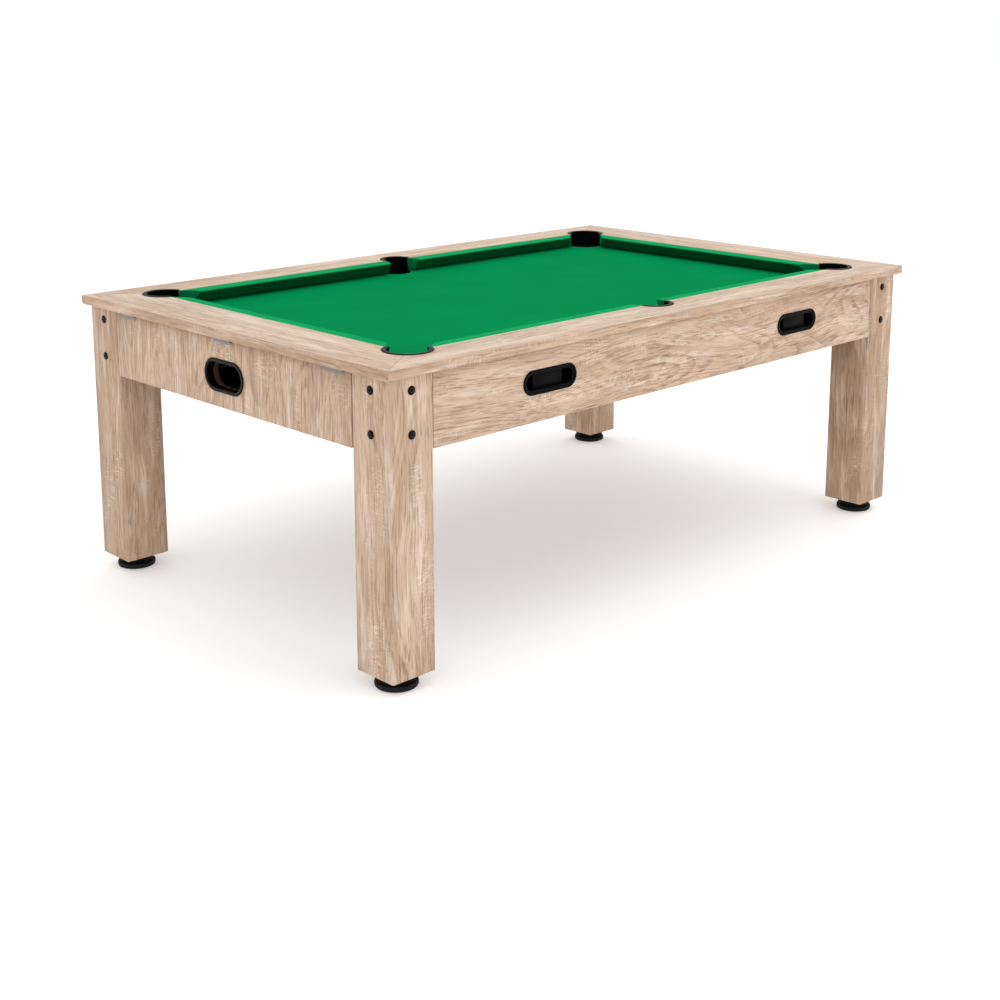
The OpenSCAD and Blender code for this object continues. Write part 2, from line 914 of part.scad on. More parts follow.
module grip_back_right() color(BLACK) grip();
module hinge_rail_leaves() color(STEEL) for (y = hinge_ys) rail_leaf(y);
module hinge_flap_leaves() color(STEEL) for (y = hinge_ys) flap_leaf(y);
module hinge_pins() color(STEEL) for (y = hinge_ys)
    translate([-hinge_x, y - hinge_l / 2, hinge_z])
        rotate([-90, 0, 0])
            cylinder(r = pin_r, h = hinge_l);
module rail_leaf_screws() color(STEEL) leaf_screws(1.5, 3, false);
module flap_leaf_screws() color(STEEL) leaf_screws(1.5, 3, true);
module catch_magnets() color(BLACK) for (s = [-1, 1])
    translate([-in_x - inner_t, s * catch_y, apron_z + 22])
        rotate([0, 90, 0])
            cylinder(r = 6, h = 9.5);
module catch_plates() color(STEEL) for (s = [-1, 1])
    translate([-frame_x + panel_t, s * catch_y, apron_z + 22])
        rotate([0, 90, 0])
            cylinder(r = 8, h = 1);
module foot_inserts() color(STEEL) each_corner() foot_insert();
module foot_sole_front_left() color(BLACK) quadrant(-1, -1) foot_sole();
module foot_sole_front_right() color(BLACK) quadrant(1, -1) foot_sole();
module foot_sole_back_left() color(BLACK) quadrant(-1, 1) foot_sole();
module foot_sole_back_right() color(BLACK) foot_sole();
module foot_wheel_front_left() color(BLACK) quadrant(-1, -1) foot_wheel();
module foot_wheel_front_right() color(BLACK) quadrant(1, -1) foot_wheel();
module foot_wheel_back_left() color(BLACK) quadrant(-1, 1) foot_wheel();
module foot_wheel_back_right() color(BLACK) foot_wheel();

side_rail_front();
side_rail_back();
end_rail_left();
end_rail_right();
apron_front();
apron_back();
end_panel_right();
end_flap();
inner_board_left();
inner_board_right();
leg_front_left();
leg_front_right();
leg_back_left();
leg_back_right();
leg_bolts();
bolt_inserts();
corner_blocks();
cross_webs();
seam_batten();
bed_board_left();
bed_board_right();
bed_cloth();
cushion_backers();
cushion_front_left();
cushion_front_right();
cushion_back_left();
cushion_back_right();
cushion_left();
cushion_right();
pocket_front_left();
pocket_front_middle();
pocket_front_right();
pocket_back_left();
pocket_back_middle();
pocket_back_right();
side_gullies();
end_gullies();
ball_tray();
gully_straps();
return_bezel();
grip_front_left();
grip_front_right();
grip_back_left();
grip_back_right();
hinge_rail_leaves();
hinge_flap_leaves();
hinge_pins();
rail_leaf_screws();
flap_leaf_screws();
catch_magnets();
catch_plates();
foot_inserts();
foot_sole_front_left();
foot_sole_front_right();
foot_sole_back_left();
foot_sole_back_right();
foot_wheel_front_left();
foot_wheel_front_right();
foot_wheel_back_left();
foot_wheel_back_right();
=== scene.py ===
import json
import math

import bmesh
import bpy
from mathutils import Matrix, Vector

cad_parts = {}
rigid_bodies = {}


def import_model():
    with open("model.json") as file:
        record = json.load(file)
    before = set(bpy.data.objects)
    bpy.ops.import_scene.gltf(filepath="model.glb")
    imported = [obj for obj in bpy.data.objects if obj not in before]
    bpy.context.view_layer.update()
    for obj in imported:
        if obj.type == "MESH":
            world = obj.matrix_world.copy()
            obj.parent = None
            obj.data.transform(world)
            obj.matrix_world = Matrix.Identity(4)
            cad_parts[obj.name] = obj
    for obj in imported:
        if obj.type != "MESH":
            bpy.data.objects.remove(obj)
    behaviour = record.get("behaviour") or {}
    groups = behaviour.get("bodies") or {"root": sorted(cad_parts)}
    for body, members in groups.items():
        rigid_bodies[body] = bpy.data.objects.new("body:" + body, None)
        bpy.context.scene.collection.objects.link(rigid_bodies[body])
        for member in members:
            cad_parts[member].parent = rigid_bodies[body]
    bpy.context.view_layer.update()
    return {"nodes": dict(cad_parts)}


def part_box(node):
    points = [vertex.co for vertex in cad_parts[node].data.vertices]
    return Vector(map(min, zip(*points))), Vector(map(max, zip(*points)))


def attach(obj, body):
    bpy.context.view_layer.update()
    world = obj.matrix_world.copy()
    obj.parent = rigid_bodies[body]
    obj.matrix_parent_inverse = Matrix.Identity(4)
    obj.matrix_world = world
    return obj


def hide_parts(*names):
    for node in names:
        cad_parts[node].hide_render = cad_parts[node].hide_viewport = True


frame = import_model()

# ---- sizes of the table, in metres ----
TOP = 0.8
EDGE_X, EDGE_Y = 0.9, 0.545  # where the wood ends and the cushions start
BED = 0.758
CORNER = Vector((0.882, 0.527))
MIDDLE_Y = 0.547
CORNER_R, MIDDLE_R, LINER_WALL = 0.054, 0.043, 0.004
CUSHION_W, CUSHION_Z = 0.042, 0.762
CORNER_GAP, MIDDLE_GAP = 0.0552, 0.0468  # from a pocket's middle to the cushion beside it
CORNER_JAW, MIDDLE_JAW = 0.050, 0.012  # how far each cushion end is cut back to its pocket
LINER_Z = 0.725
FRAME_X, FRAME_Y = 1.047, 0.652
LEG_X, LEG_Y = 0.98, 0.585
BOLT_Z = (0.739, 0.634)
BOLT_SOCKET_R = 0.0052
RETURN_Z, GRIP_Z, GRIP_X = 0.672, 0.690, 0.5235
RIM_TOP = 0.802
HINGE_Y, HINGE_HALF = (-0.455, 0.0, 0.455), 0.040
LIP_THICK, LIP_LOW, LIP_HIGH = 0.0013, 0.7596, 0.7672
RAIL_EASE, PANEL_EASE, LEG_EASE, SAWN_EASE, LEAF_EASE = 0.0012, 0.0010, 0.0008, 0.0005, 0.0002
CLOTH_THICK, CLOTH_CLEAR = 0.001, 0.0007


# ---- making pieces ----
def to_linear(code):
    """A colour written as sRGB hex, as linear RGBA."""
    out = []
    for i in (1, 3, 5):
        c = int(code[i : i + 2], 16) / 255
        out.append(c / 12.92 if c <= 0.04045 else ((c + 0.055) / 1.055) ** 2.4)
    return (*out, 1.0)


def object_mode():
    if bpy.context.object and bpy.context.object.mode != "OBJECT":
        bpy.ops.object.mode_set(mode="OBJECT")


def only(piece):
    """Makes this the only selected and the active object."""
    object_mode()
    for o in bpy.context.view_layer.objects:
        o.select_set(False)
    piece.select_set(True)
    bpy.context.view_layer.objects.active = piece


def pick_edges(piece, test):
    """In edit mode, selects the piece's edges that pass test."""
    bpy.ops.mesh.select_all(action="DESELECT")
    bpy.ops.mesh.select_mode(type="EDGE")
    bm = bmesh.from_edit_mesh(piece.data)
    for e in bm.edges:
        e.select = test(e)
    bm.select_flush_mode()
    bmesh.update_edit_mesh(piece.data)


def edit(piece):
    """Opens a piece in edit mode, with all of it selected."""
    only(piece)
    bpy.ops.object.mode_set(mode="EDIT")
    bpy.ops.mesh.select_all(action="SELECT")


def tidy(piece, smooth=35):
    """Merges doubles, turns faces outwards and smooths all but the sharp edges."""
    edit(piece)
    bpy.ops.mesh.remove_doubles(threshold=1e-5)
    bpy.ops.mesh.select_all(action="SELECT")
    bpy.ops.mesh.normals_make_consistent(inside=False)
    object_mode()
    only(piece)
    bpy.ops.object.shade_smooth_by_angle(angle=math.radians(smooth))
    return piece


def modify(piece, kind, **settings):
    """Adds a modifier with these settings and applies it."""
    only(piece)
    m = piece.modifiers.new(kind.lower(), kind)
    for k, v in settings.items():
        setattr(m, k, v)
    bpy.ops.object.modifier_apply(modifier=m.name)
    return piece


def round_edges(piece, width, segments=2):
    return modify(
        piece, "BEVEL", width=width, segments=segments, limit_method="ANGLE",
        angle_limit=math.radians(40), miter_outer="MITER_ARC",
    )


def outline_piece(name, points):
    """A closed outline of (x, z) points, drawn in the XZ plane."""
    object_mode()
    bpy.ops.mesh.primitive_circle_add(vertices=len(points), radius=0.01)
    piece = bpy.context.object
    piece.name = piece.data.name = name
    for v, (x, z) in zip(piece.data.vertices, points):
        v.co = (x, 0, z)
    return piece


def lathe(name, points, sweep=360, start=0, steps=64):
    """Turns an outline of (radius, z) points about Z, from start through sweep degrees."""
    piece = outline_piece(name, points)
    piece.data.transform(Matrix.Rotation(math.radians(start), 4, "Z"))
    edit(piece)
    if sweep < 360:
        bpy.ops.mesh.edge_face_add()
    # the operator turns clockwise for a positive angle
    bpy.ops.mesh.spin(steps=steps, angle=-math.radians(sweep), center=(0, 0, 0), axis=(0, 0, 1))
    object_mode()
    return tidy(piece)


def racetrack(name, points, width, height):
    """Carries an outline of (offset outwards, z) points round a slot-shaped path in the XY
    plane: a turned ring whose halves are moved apart."""
    half = (width - height) / 2
    steps = 96
    piece = lathe(name, [(height / 2 + r, z) for r, z in points], 360, 180 / steps, steps)
    for v in piece.data.vertices:
        v.co.x += math.copysign(half, v.co.x)
    return piece


def slot_plate(name, width, height, low, high):
    """A solid slot-shaped plate in the XY plane, from z low to high."""
    object_mode()
    bpy.ops.mesh.primitive_circle_add(vertices=64, radius=height / 2, fill_type="NGON")
    piece = bpy.context.object
    piece.name = piece.data.name = name
    half = (width - height) / 2
    piece.data.transform(Matrix.Rotation(math.pi / 64, 4, "Z"))
    for v in piece.data.vertices:
        v.co.x += math.copysign(half, v.co.x)
        v.co.z = low
    edit(piece)
    bpy.ops.mesh.extrude_region_move(TRANSFORM_OT_translate={"value": (0, 0, high - low)})
    object_mode()
    return tidy(piece)


def block(name, low, high):
    """A box from one corner to the other, as a start for shaping."""
    object_mode()
    bpy.ops.mesh.primitive_cube_add(size=1)
    piece = bpy.context.object
    piece.name = piece.data.name = name
    low, high = Vector(low), Vector(high)
    for v in piece.data.vertices:
        v.co = [a + (b - a) * (c + 0.5) for a, b, c in zip(low, high, v.co)]
    return piece


def copy_of(piece, name):
    twin = piece.copy()
    twin.data = piece.data.copy()
    twin.name = twin.data.name = name
    bpy.context.scene.collection.objects.link(twin)
    return twin


def join(name, pieces):
    only(pieces[0])
    for p in pieces[1:]:
        p.select_set(True)
    bpy.ops.object.join()
    piece = bpy.context.object
    piece.name = piece.data.name = name
    return piece


def place(piece, matrix):
    """Moves a piece's mesh, and turns its faces outwards again if the move mirrors it."""
    piece.data.transform(matrix)
    if matrix.to_3x3().determinant() < 0:
        piece.data.flip_normals()
    return piece


def finish_piece(piece, body, slot, *nodes, materials=()):
    if materials:
        piece.data.materials.clear()
    for m in materials:
        piece.data.materials.append(m)
    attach(piece, body)
    if nodes:
        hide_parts(*nodes)
    return piece


def drop(piece):
    bpy.data.objects.remove(piece)


QUADRANTS = {
    "front_left": (-1, -1), "front_right": (1, -1), "back_left": (-1, 1), "back_right": (1, 1),
}


def quadrant(sx, sy):
    return Matrix.Diagonal((sx, sy, 1, 1))


# ---- making finishes ----
def finish(name, **shader):
    """A new material; settings go on its Principled shader's own sockets."""
    m = bpy.data.materials.new(name)
    m.use_nodes = True
    b = m.node_tree.nodes["Principled BSDF"]
    for k, v in shader.items():
        b.inputs[k.replace("_", " ")].default_value = v
    return m


def add(m, kind, inputs=(), out=0, **settings):
    """Adds a node to a material, with its settings and its inputs as values or links."""
    n = m.node_tree.nodes.new(kind)
    for k, v in settings.items():
        setattr(n, k, v)
    for k, v in dict(inputs).items():
        if isinstance(v, bpy.types.NodeSocket):
            m.node_tree.links.new(v, n.inputs[k])
        else:
            n.inputs[k].default_value = v
    return n.outputs[out]


def shade(m, socket, source):
    m.node_tree.links.new(source, m.node_tree.nodes["Principled BSDF"].inputs[socket])


def grained(m, along, shift):
    """Object coordinates turned so that X runs along the grain, moved by shift."""
    turn = {"X": (0, 0, 0), "Y": (0, 0, -math.pi / 2), "Z": (0, math.pi / 2, 0)}[along]
    here = add(m, "ShaderNodeTexCoord", out="Object")
    turned = add(m, "ShaderNodeMapping", {"Vector": here, "Rotation": turn})
    return add(m, "ShaderNodeMapping", {"Vector": turned, "Location": shift})


def marks(m, where, size, detail=2.0, low=0.3, high=0.7):
    """Noise whose marks are size (metres) along and across the grain, spread from 0 to 1."""
    scale = [1 / s for s in size]
    fine = add(m, "ShaderNodeMapping", {"Vector": where, "Scale": scale})
    n = add(m, "ShaderNodeTexNoise",
            {"Vector": fine, "Scale": 1.0, "Detail": detail})
    return add(m, "ShaderNodeMapRange", {"Value": n, "From Min": low, "From Max": high})


def times(m, a, b):
    return add(m, "ShaderNodeMath", {0: a, 1: b}, operation="MULTIPLY")


def tint(m, base, colour, amount):
    """Mixes colour into base by amount."""
    return add(m, "ShaderNodeMix", {0: amount, 6: base, 7: colour}, out=2, data_type="RGBA")


def oak_laminate(name, along, shift, figure=0.35, tone="#cfb39a"):
    """Printed oak decor paper under melamine, pressed on board: pale, satin, with brown
    streaks along the grain, growth rings that sweep more as figure rises, and short pale
    saw marks across it."""
    m = finish(name, Roughness=0.52, IOR=1.5, Specular_IOR_Level=0.35)
    here = grained(m, along, shift)
    # slow waves 60 mm wide bend the grain
    bend = add(m, "ShaderNodeMapping", {"Vector": here, "Scale": (1.6, 5.0, 5.0)})
    sway = add(m, "ShaderNodeTexNoise", {"Vector": bend, "Scale": 1.0, "Detail": 0.8}, out="Color")
    centred = add(m, "ShaderNodeVectorMath", {0: sway, 1: (0.5, 0.5, 0.5)}, operation="SUBTRACT")
    reach = 0.02 + 0.15 * figure
    swayed = add(m, "ShaderNodeVectorMath", {0: centred, 1: (0.0, reach, reach)}, operation="MULTIPLY")
    bent = add(m, "ShaderNodeVectorMath", {0: here, 1: swayed}, operation="ADD")
    # bands of brown 40 mm wide, and of pale sapwood 25 mm wide
    broad = marks(m, bent, (0.5, 0.04, 0.04), 3.0, 0.35, 0.65)
    colour = tint(m, to_linear(tone), to_linear("#b5957a"), times(m, broad, 0.75))
    pale = marks(m, bent, (0.22, 0.025, 0.025), 3.0, 0.5, 0.72)
    colour = tint(m, colour, to_linear("#e6d3c1"), times(m, pale, 0.6))
    # pores: short brown lines, drawn 3 mm wide so that they show
    pores = marks(m, bent, (0.05, 0.0032, 0.0032), 2.0, 0.52, 0.64)
    # growth rings: level lines of a stretched field, 10 to 25 mm apart, broken up by the pores
    field = add(m, "ShaderNodeMapping", {"Vector": bent, "Scale": (1.5, 6.0, 6.0)})
    height = add(m, "ShaderNodeTexNoise",
                 {"Vector": field, "Scale": 1.0, "Detail": 0.7, "Roughness": 0.4})
    rings = add(m, "ShaderNodeMath", {0: times(m, height, 19.0)}, operation="FRACT")
    line = add(m, "ShaderNodeMapRange", {"Value": rings, "From Min": 0.45, "From Max": 0.95})
    patch = marks(m, here, (0.30, 0.09, 0.09), 1.0, 0.4, 0.6)
    broken = add(m, "ShaderNodeMapRange", {"Value": pores, "To Min": 0.45, "To Max": 1.0})
    ringed = times(m, times(m, line, patch), times(m, broken, figure * 2.0))
    colour = tint(m, colour, to_linear("#8f6d54"), ringed)
    # brown streaks, drawn 4 mm wide so that they show, and uneven over the board
    streak = marks(m, bent, (0.2, 0.0042, 0.0042), 2.5, 0.5, 0.66)
    uneven = marks(m, bent, (0.35, 0.03, 0.03), 2.0, 0.22, 0.56)
    colour = tint(m, colour, to_linear("#967459"), times(m, times(m, streak, uneven), 0.66))
    colour = tint(m, colour, to_linear("#7a5a43"), times(m, times(m, pores, uneven), 0.5))
    # saw marks: pale lines across the grain, drawn 4 mm apart so that they show, in patches
    saw = marks(m, here, (0.0036, 0.02, 0.02), 3.0, 0.5, 0.66)
    where = marks(m, here, (0.2, 0.08, 0.08), 3.0, 0.52, 0.68)
    colour = tint(m, colour, to_linear("#efe4d8"), times(m, times(m, saw, where), 0.4))
    shade(m, "Base Color", colour)
    rough = add(m, "ShaderNodeMapRange", {"Value": streak, "To Min": 0.46, "To Max": 0.6})
    shade(m, "Roughness", rough)
    relief = add(m, "ShaderNodeBump", {"Strength": 0.12, "Distance": 0.0004, "Height": streak})
    shade(m, "Normal", relief)
    return m


def raw_fibreboard(name, deep="#87653d", pale="#9a7a50"):
    """Medium density fibreboard, sawn and unpainted: warm brown, matt, with fibre specks
    drawn 2.5 mm wide so that they show."""
    m = finish(name, Roughness=0.85)
    here = add(m, "ShaderNodeTexCoord", out="Object")
    specks = marks(m, here, (0.0025, 0.0025, 0.0025), 3.0, 0.4, 0.7)
    cloud = marks(m, here, (0.09, 0.09, 0.09), 2.0)
    colour = tint(m, to_linear(deep), to_linear("#5e4528"), times(m, cloud, 0.45))
    colour = tint(m, colour, to_linear(pale), times(m, specks, 0.6))
    shade(m, "Base Color", colour)
    relief = add(m, "ShaderNodeBump", {"Strength": 0.25, "Distance": 0.0004, "Height": specks})
    shade(m, "Normal", relief)
    return m


def worsted_cloth(name, deep, bright):
    """Woven wool and nylon playing cloth with a short nap: even green, matt, a soft sheen
    at low angles. The 0.5 mm weave is drawn 1.6 mm wide so that it shows."""
    m = finish(name, Roughness=0.92, IOR=1.45, Sheen_Weight=0.05, Sheen_Roughness=0.5,
               Sheen_Tint=to_linear("#00d873"), Specular_IOR_Level=0.01)
    here = add(m, "ShaderNodeTexCoord", out="Object")
    cloud = marks(m, here, (0.22, 0.16, 0.2), 2.0, 0.35, 0.65)
    nap = marks(m, here, (0.006, 0.0025, 0.004), 3.0, 0.35, 0.65)
    colour = tint(m, to_linear(deep), to_linear(bright), times(m, cloud, 0.45))
    colour = tint(m, colour, to_linear(bright), times(m, nap, 0.35))
    shade(m, "Base Color", colour)
    threads = {"Vector": here, "Scale": 196.0, "Distortion": 0.6, "Detail": 1.0}
    warp = add(m, "ShaderNodeTexWave", threads, bands_direction="X", wave_type="BANDS", out=1)
    weft = add(m, "ShaderNodeTexWave", threads, bands_direction="Y", wave_type="BANDS", out=1)
    weave = add(m, "ShaderNodeMath", {0: warp, 1: weft}, operation="ADD")
    height = add(m, "ShaderNodeMath", {0: weave, 1: nap}, operation="ADD")
    relief = add(m, "ShaderNodeBump", {"Strength": 0.22, "Distance": 0.0003, "Height": height})
    shade(m, "Normal", relief)
    return m


def moulded_plastic(name, colour="#030303", rough=0.42, gloss=0.05):
    """Injection moulded ABS with a fine spark-eroded texture, drawn 1.2 mm wide so that it
    shows: near black, satin."""
    m = finish(name, IOR=1.53, Roughness=rough, Specular_IOR_Level=gloss)
    here = add(m, "ShaderNodeTexCoord", out="Object")
    grain = marks(m, here, (0.0012, 0.0012, 0.0012), 2.0, 0.35, 0.65)
    cloud = marks(m, here, (0.03, 0.03, 0.03), 2.0)
    shade(m, "Base Color", tint(m, to_linear(colour), to_linear("#0a0a0b"), times(m, cloud, 0.5)))
    patchy = {"Value": cloud, "To Min": rough - 0.05, "To Max": rough + 0.07}
    shade(m, "Roughness", add(m, "ShaderNodeMapRange", patchy))
    relief = add(m, "ShaderNodeBump", {"Strength": 0.15, "Distance": 0.0002, "Height": grain})
    shade(m, "Normal", relief)
    return m


def moulded_rubber(name):
    """Moulded rubber sole: black, matt, faintly dusty."""
    m = finish(name, Roughness=0.7, IOR=1.5, Specular_IOR_Level=0.25)
    here = add(m, "ShaderNodeTexCoord", out="Object")
    dust = marks(m, here, (0.012, 0.012, 0.012), 3.0)
    shade(m, "Base Color", tint(m, to_linear("#090909"), to_linear("#141313"), times(m, dust, 0.7)))
    relief = add(m, "ShaderNodeBump", {"Strength": 0.2, "Distance": 0.0003, "Height": dust})
    shade(m, "Normal", relief)
    return m


def black_oxide(name, dark, painted_highlight):
    """Hardened steel bolt head, black oxide: dark satin metal, with paler patches painted in as soft
    grey highlights.
    """
    m = finish(name, Metallic=0.85, Roughness=0.32)
    here = add(m, "ShaderNodeTexCoord", out="Object")
    highlight_patches = marks(m, here, (0.004, 0.004, 0.004), 3.0, 0.4, 0.7)
    shade(m, "Base Color", tint(m, to_linear(dark), to_linear(painted_highlight), times(m, highlight_patches, 0.5)))
    shade(m, "Roughness", add(m, "ShaderNodeMapRange", {"Value": highlight_patches, "To Min": 0.26, "To Max": 0.42}))
    return m


def zinc_plate(name):
    """Pressed steel, zinc plated and passivated: grey metal, dulled, with a faint rolled direction; its
    colour is painted darker than bare zinc as painted shade on the hinges under the rail.
    """
    m = finish(name, Metallic=1.0, Roughness=0.34)
    here = add(m, "ShaderNodeTexCoord", out="Object")
    rolled = marks(m, here, (0.0012, 0.03, 0.0012), 3.0)
    shade(m, "Base Color", tint(m, to_linear("#8b8985"), to_linear("#6a6865"), times(m, rolled, 0.6)))
    rough = add(m, "ShaderNodeMapRange", {"Value": rolled, "To Min": 0.28, "To Max": 0.45})
    shade(m, "Roughness", rough)
    return m


FIBREBOARD = raw_fibreboard("sawn_fibreboard")
# the boards behind the panels are painted darker: painted shade in the openings behind the panels
SHADED_BOARD = raw_fibreboard("sawn_fibreboard_painted_shade", "#4b3620", "#5e4730")
BED_CLOTH = worsted_cloth("worsted_bed_cloth", "#007d45", "#008a4f")
# the cushions take the bed's cloth painted lighter: painted light on the cushion tops
LIT_CUSHION_CLOTH = worsted_cloth("worsted_cushion_cloth_painted_light", "#0d9356", "#1aa262")
# the same cloth folded over a cushion's end, painted darker: painted shade on the jaw faces
SHADED_FOLDED_CLOTH = worsted_cloth("worsted_cloth_folded_painted_shade", "#006a3a", "#007742")
# and painted darker still below the nose: painted shade under the cushion's nose
SHADED_UNDER_CLOTH = worsted_cloth("worsted_cloth_under_nose_painted_shade", "#004a24", "#00572c")
ABS = moulded_plastic("moulded_abs")
GLOSS_ABS = moulded_plastic("polished_abs_rim", "#030303", 0.25, gloss=0.1)
DULL_ABS = moulded_plastic("moulded_abs_inside", "#040404", 0.6, gloss=0.05)
RUBBER = moulded_rubber("moulded_rubber")
BOLT = black_oxide("black_oxide_steel", "#040405", "#0d0d0e")
# the ring round the socket is painted lighter grey: a painted highlight
SOCKET_HIGHLIGHT = black_oxide("bolt_socket_painted_highlight", "#34363a", "#4b4e52")
# zinc painted darker than the bare metal: painted shade on the hinges
SHADED_ZINC = zinc_plate("zinc_plated_steel_painted_shade")
# edge banding is browner than the top laminate; the end rails' banding is painted darker still: painted
# shade on the table's ends
EDGING_WITH_END_SHADE = {"X": "#c9ab90", "Y": "#b5967b"}
# all legs but the front left one are painted darker: painted shade, darkest on the front right leg
LEG_TONES_SHADED = {
    "front_left": "#cbaf96", "front_right": "#b09278", "back_left": "#bb9d84", "back_right": "#bb9d84",
}

# ---- CAD nodes that keep their shape ----
KEPT = {
    FIBREBOARD: ("corner_blocks", "cross_webs", "seam_batten", "bed_board", "cushion_backers"),
    DULL_ABS: ("side_gull", "end_gull", "ball_tray", "catch_magnets"),
    SHADED_ZINC: ("bolt_inserts", "hinge_pins", "rail_leaf_screws", "flap_leaf_screws", "catch_plates",
           "foot_inserts", "gully_straps"),
}
for material, starts in KEPT.items():
    for n, node in frame["nodes"].items():
        if n.startswith(starts):
            node.data.materials.clear()
            node.data.materials.append(material)


# ---- boards: sawn, laminated, edges eased ----
def eased(node, name, width, body, slot, face, edge=None, upright_edge=False):
    """A copy of a CAD board with its sharp edges eased by width."""
    twin = copy_of(frame["nodes"][node], name)
    for k in list(twin.keys()):
        del twin[k]
    twin.parent = None
    edit(twin)
    bpy.ops.mesh.remove_doubles(threshold=2e-5)
    bpy.ops.mesh.select_all(action="SELECT")
    bpy.ops.mesh.dissolve_limited(angle_limit=math.radians(0.5))
    object_mode()
    modify(twin, "BEVEL", width=width, segments=2, limit_method="ANGLE",
           angle_limit=math.radians(50))
    only(twin)
    bpy.ops.object.shade_smooth_by_angle(angle=math.radians(40))
    finish_piece(twin, body, slot, node, materials=[face] + ([edge] if edge else []))
    if edge:
        for f in twin.data.polygons:
            f.material_index = int(abs(f.normal.z) < 0.6)
    return twin


# each board takes its grain from another part of the pattern
oak_shift = 0
RAILS = (
    ("side_rail_front", "X"), ("side_rail_back", "X"), ("end_rail_left", "Y"), ("end_rail_right", "Y"),
)
PANELS = (("apron_front", "X", 0.5), ("apron_back", "X", 0.5), ("end_panel_right", "Z", 0.35))
for n, along in RAILS:
    oak_shift += 1
    cut = (1.7 * oak_shift, 0.9 * oak_shift, 0.3)
    top = oak_laminate(f"oak_laminate_{n}", along, cut, 0.15, "#d8c1ab")
    cut = (2.1 * oak_shift, 0.4, 0.8)
    edge = oak_laminate(f"oak_edging_{n}", along, cut, 0.1, EDGING_WITH_END_SHADE[along])
    eased(n, f"{n}_laminated", RAIL_EASE, "root", "oak_rail", top, edge)
for n, along, figure in PANELS:
    oak_shift += 1
    cut = (3.1 * oak_shift, 0.35 * oak_shift, 0.7 * oak_shift)
    face = oak_laminate(f"oak_laminate_{n}", along, cut, figure)
    eased(n, f"{n}_laminated", PANEL_EASE, "root", "oak_panel", face)
face = oak_laminate("oak_laminate_end_flap", "Z", (0.4, 1.3, 2.6), 0.4, "#cbad93")
eased("end_flap", "end_flap_laminated", PANEL_EASE, "flap", "oak_panel", face)
for n in QUADRANTS:
    oak_shift += 1
    cut = (0.8 * oak_shift, 0.6 * oak_shift, 1.9)
    face = oak_laminate(f"oak_laminate_leg_{n}", "Z", cut, 0.3, LEG_TONES_SHADED[n])
    eased(f"leg_{n}", f"leg_{n}_laminated", LEG_EASE, "root", "oak_panel", face)
for n in ("inner_board_left", "inner_board_right"):
    eased(n, f"{n}_sawn", SAWN_EASE, "root", "board_core", SHADED_BOARD)

# ---- bed cloth ----
def pocket_places():
    for name, (sx, sy) in QUADRANTS.items():
        yield name, Vector((sx * CORNER.x, sy * CORNER.y)), CORNER_R + LINER_WALL
    for sy, name in ((-1, "front_middle"), (1, "back_middle")):
        yield name, Vector((0, sy * MIDDLE_Y)), MIDDLE_R + LINER_WALL


def stretched_cloth():
    """The bed cloth: one sheet stretched over the bed and cut at the pockets."""
    low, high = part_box("bed_cloth")
    half_x, half_y = high.x, high.y
    object_mode()
    bpy.ops.mesh.primitive_grid_add(x_subdivisions=94, y_subdivisions=58, size=1)
    cloth = bpy.context.object
    cloth.name = cloth.data.name = "bed_cloth_stretched"
    for v in cloth.data.vertices:
        v.co = (v.co.x * 2 * half_x, v.co.y * 2 * half_y, BED)
    modify(cloth, "SOLIDIFY", thickness=CLOTH_THICK, offset=-1)
    for name, at, r in pocket_places():
        bpy.ops.mesh.primitive_cylinder_add(
            vertices=96, radius=r + CLOTH_CLEAR, depth=0.1, location=(at.x, at.y, BED))
        cutter = bpy.context.object
        only(cutter)
        bpy.ops.object.transform_apply()
        modify(cloth, "BOOLEAN", object=cutter, operation="DIFFERENCE", solver="EXACT")
        drop(cutter)
        if "middle" not in name:
            sx, sy = math.copysign(1, at.x), math.copysign(1, at.y)
            corners = sorted((at.x, at.x + sx * 0.3)), sorted((at.y, at.y + sy * 0.3))
            corner = block("cloth_corner", (corners[0][0], corners[1][0], BED - 0.05),
                           (corners[0][1], corners[1][1], BED + 0.05))
            modify(cloth, "BOOLEAN", object=corner, operation="DIFFERENCE", solver="EXACT")
            drop(corner)
    tidy(cloth, 30)
    finish_piece(cloth, "root", "green_cloth", "bed_cloth", materials=[BED_CLOTH])


stretched_cloth()


